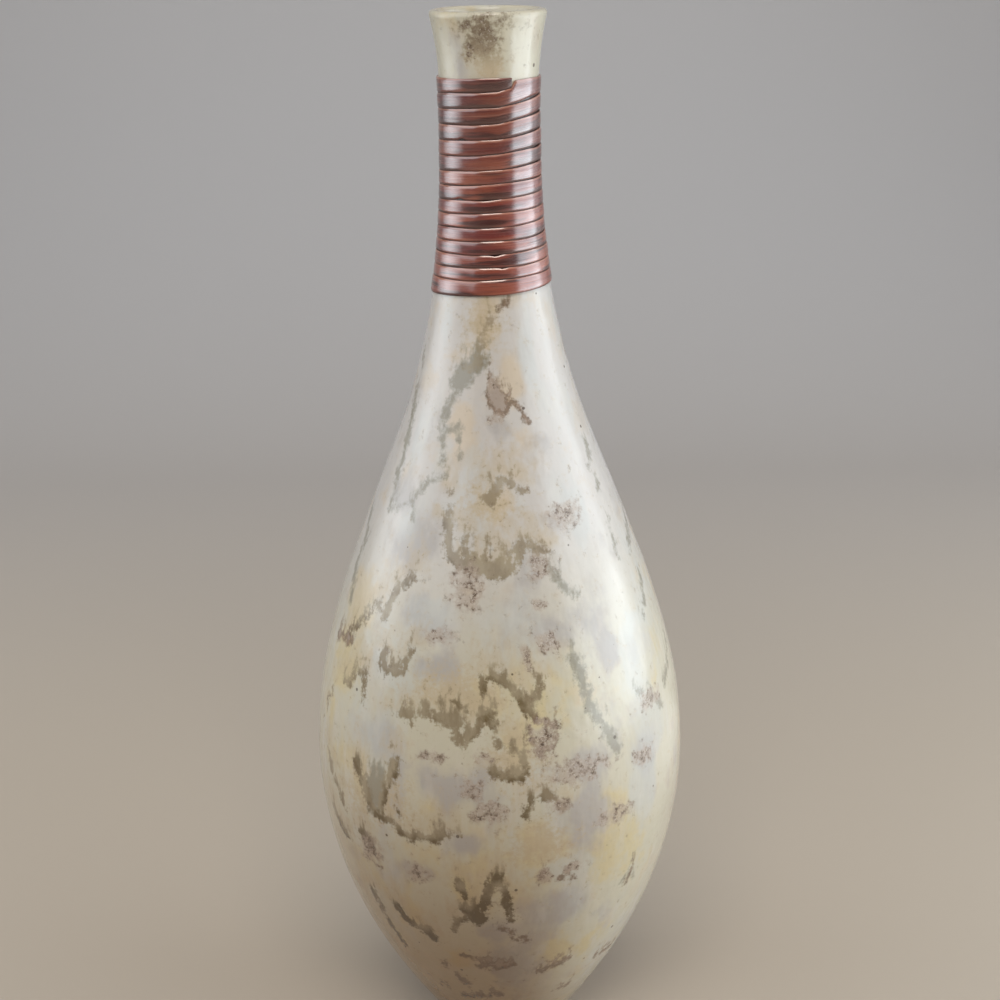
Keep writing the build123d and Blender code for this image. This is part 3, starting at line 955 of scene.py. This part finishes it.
def soft_light(name, place, aim, width, tall, fade, power, colour):
    """A flat panel of light, aimed at a point. It fades over a share of its width at each end."""
    bpy.ops.object.light_add(type="AREA", location=place)
    light = bpy.context.object
    light.name = name
    light.visible_camera = False
    light.data.shape = "RECTANGLE"
    light.data.size = width
    light.data.size_y = tall
    light.data.energy = power
    light.data.color = colour
    light.rotation_euler = (Vector(aim) - Vector(place)).to_track_quat("-Z", "Y").to_euler()
    light.data.use_nodes = True
    on_panel = add_node(light.data, "ShaderNodeNewGeometry", {}, "Parametric")
    across = add_node(light.data, "ShaderNodeSeparateXYZ", {"Vector": on_panel}, "X")
    near_end = ramp(light.data, across, 0, fade)
    far_end = ramp(light.data, across, 1, 1 - fade)
    strength = reckon(light.data, "MULTIPLY", near_end, far_end)
    emission = light.data.node_tree.nodes["Emission"]
    light.data.node_tree.links.new(strength, emission.inputs["Strength"])


# Each panel's name, place, aim, width, height, fade, power and colour
panels = (
    ("right_window", (1.0, -0.18, 0.52), (0, 0, 0.3), 1.35, 1.1, 0.22, 9.2, (0.83, 0.925, 1.0)),
    ("right_back_window", (0.97, 0.38, 0.5), (0, 0, 0.3), 1.25, 1.1, 0.5, 3.1, (0.9, 0.96, 1.0)),
    ("right_low_window", (0.92, -0.18, 0.16), (0, 0, 0.08), 1.35, 0.36, 0.25, 3.1, (0.85, 0.94, 1.0)),
    (
        "right_floor_light", (0.45, -0.02, 0.012), (0.45, -0.02, 0.5), 0.5, 0.7, 0.3, 0.65,
        (0.9, 0.96, 1.0),
    ),
    ("left_window", (-1.0, -0.45, 0.86), (0, -0.23, 0.35), 2.2, 0.8, 0.15, 7.2, (0.86, 0.94, 1.0)),
    ("left_middle_window", (-1.0, 0.06, 0.36), (0, 0, 0.36), 1.5, 0.3, 0.5, 3.6, (0.88, 0.95, 1.0)),
    ("front_light", (0, -1.1, 1.9), (0, 0, 0.25), 1.4, 1.0, 0.1, 21.5, (1.0, 0.93, 0.84)),
)
for panel in panels:
    soft_light(*panel)

# The room is dark before the vase, so that cane and glaze mirror only the panels. It is pale behind.
DARK_FRONT = 0.06
PALE_BACK = 0.62
DARK_UP_TO = -0.6
PALE_FROM = 0.5
ROOM_COLOUR = (0.97, 0.97, 1.0, 1.0)
world = bpy.data.worlds.new("studio")
world.use_nodes = True
room = world.node_tree.nodes["Background"]
room.inputs["Color"].default_value = ROOM_COLOUR
room_direction = add_node(world, "ShaderNodeTexCoord", {}, "Generated")
backward = add_node(world, "ShaderNodeSeparateXYZ", {"Vector": room_direction}, "Y")
room_strength = ramp(world, backward, DARK_UP_TO, PALE_FROM, DARK_FRONT, PALE_BACK)
world.node_tree.links.new(room_strength, room.inputs["Strength"])
bpy.context.scene.world = world
bpy.context.scene.view_settings.view_transform = "Standard"

# The camera stands a little above the lip and looks down at the vase, held slightly askew.
CAMERA_PLACE = (0, -0.8552, 0.5517)
CAMERA_PITCH = radians(18.2)
CAMERA_TURN = radians(-0.135)
CAMERA_TILT = radians(-0.92)
LENS = 67.32
SENSOR = 36.0
bpy.ops.object.camera_add()
camera = bpy.context.object
camera.data.lens = LENS
camera.data.sensor_width = SENSOR
camera.matrix_world = (
    Matrix.Translation(CAMERA_PLACE)
    @ Matrix.Rotation(CAMERA_TURN, 4, "Z")
    @ Matrix.Rotation(pi / 2 - CAMERA_PITCH, 4, "X")
    @ Matrix.Rotation(CAMERA_TILT, 4, "Z")
)
bpy.context.scene.camera = camera
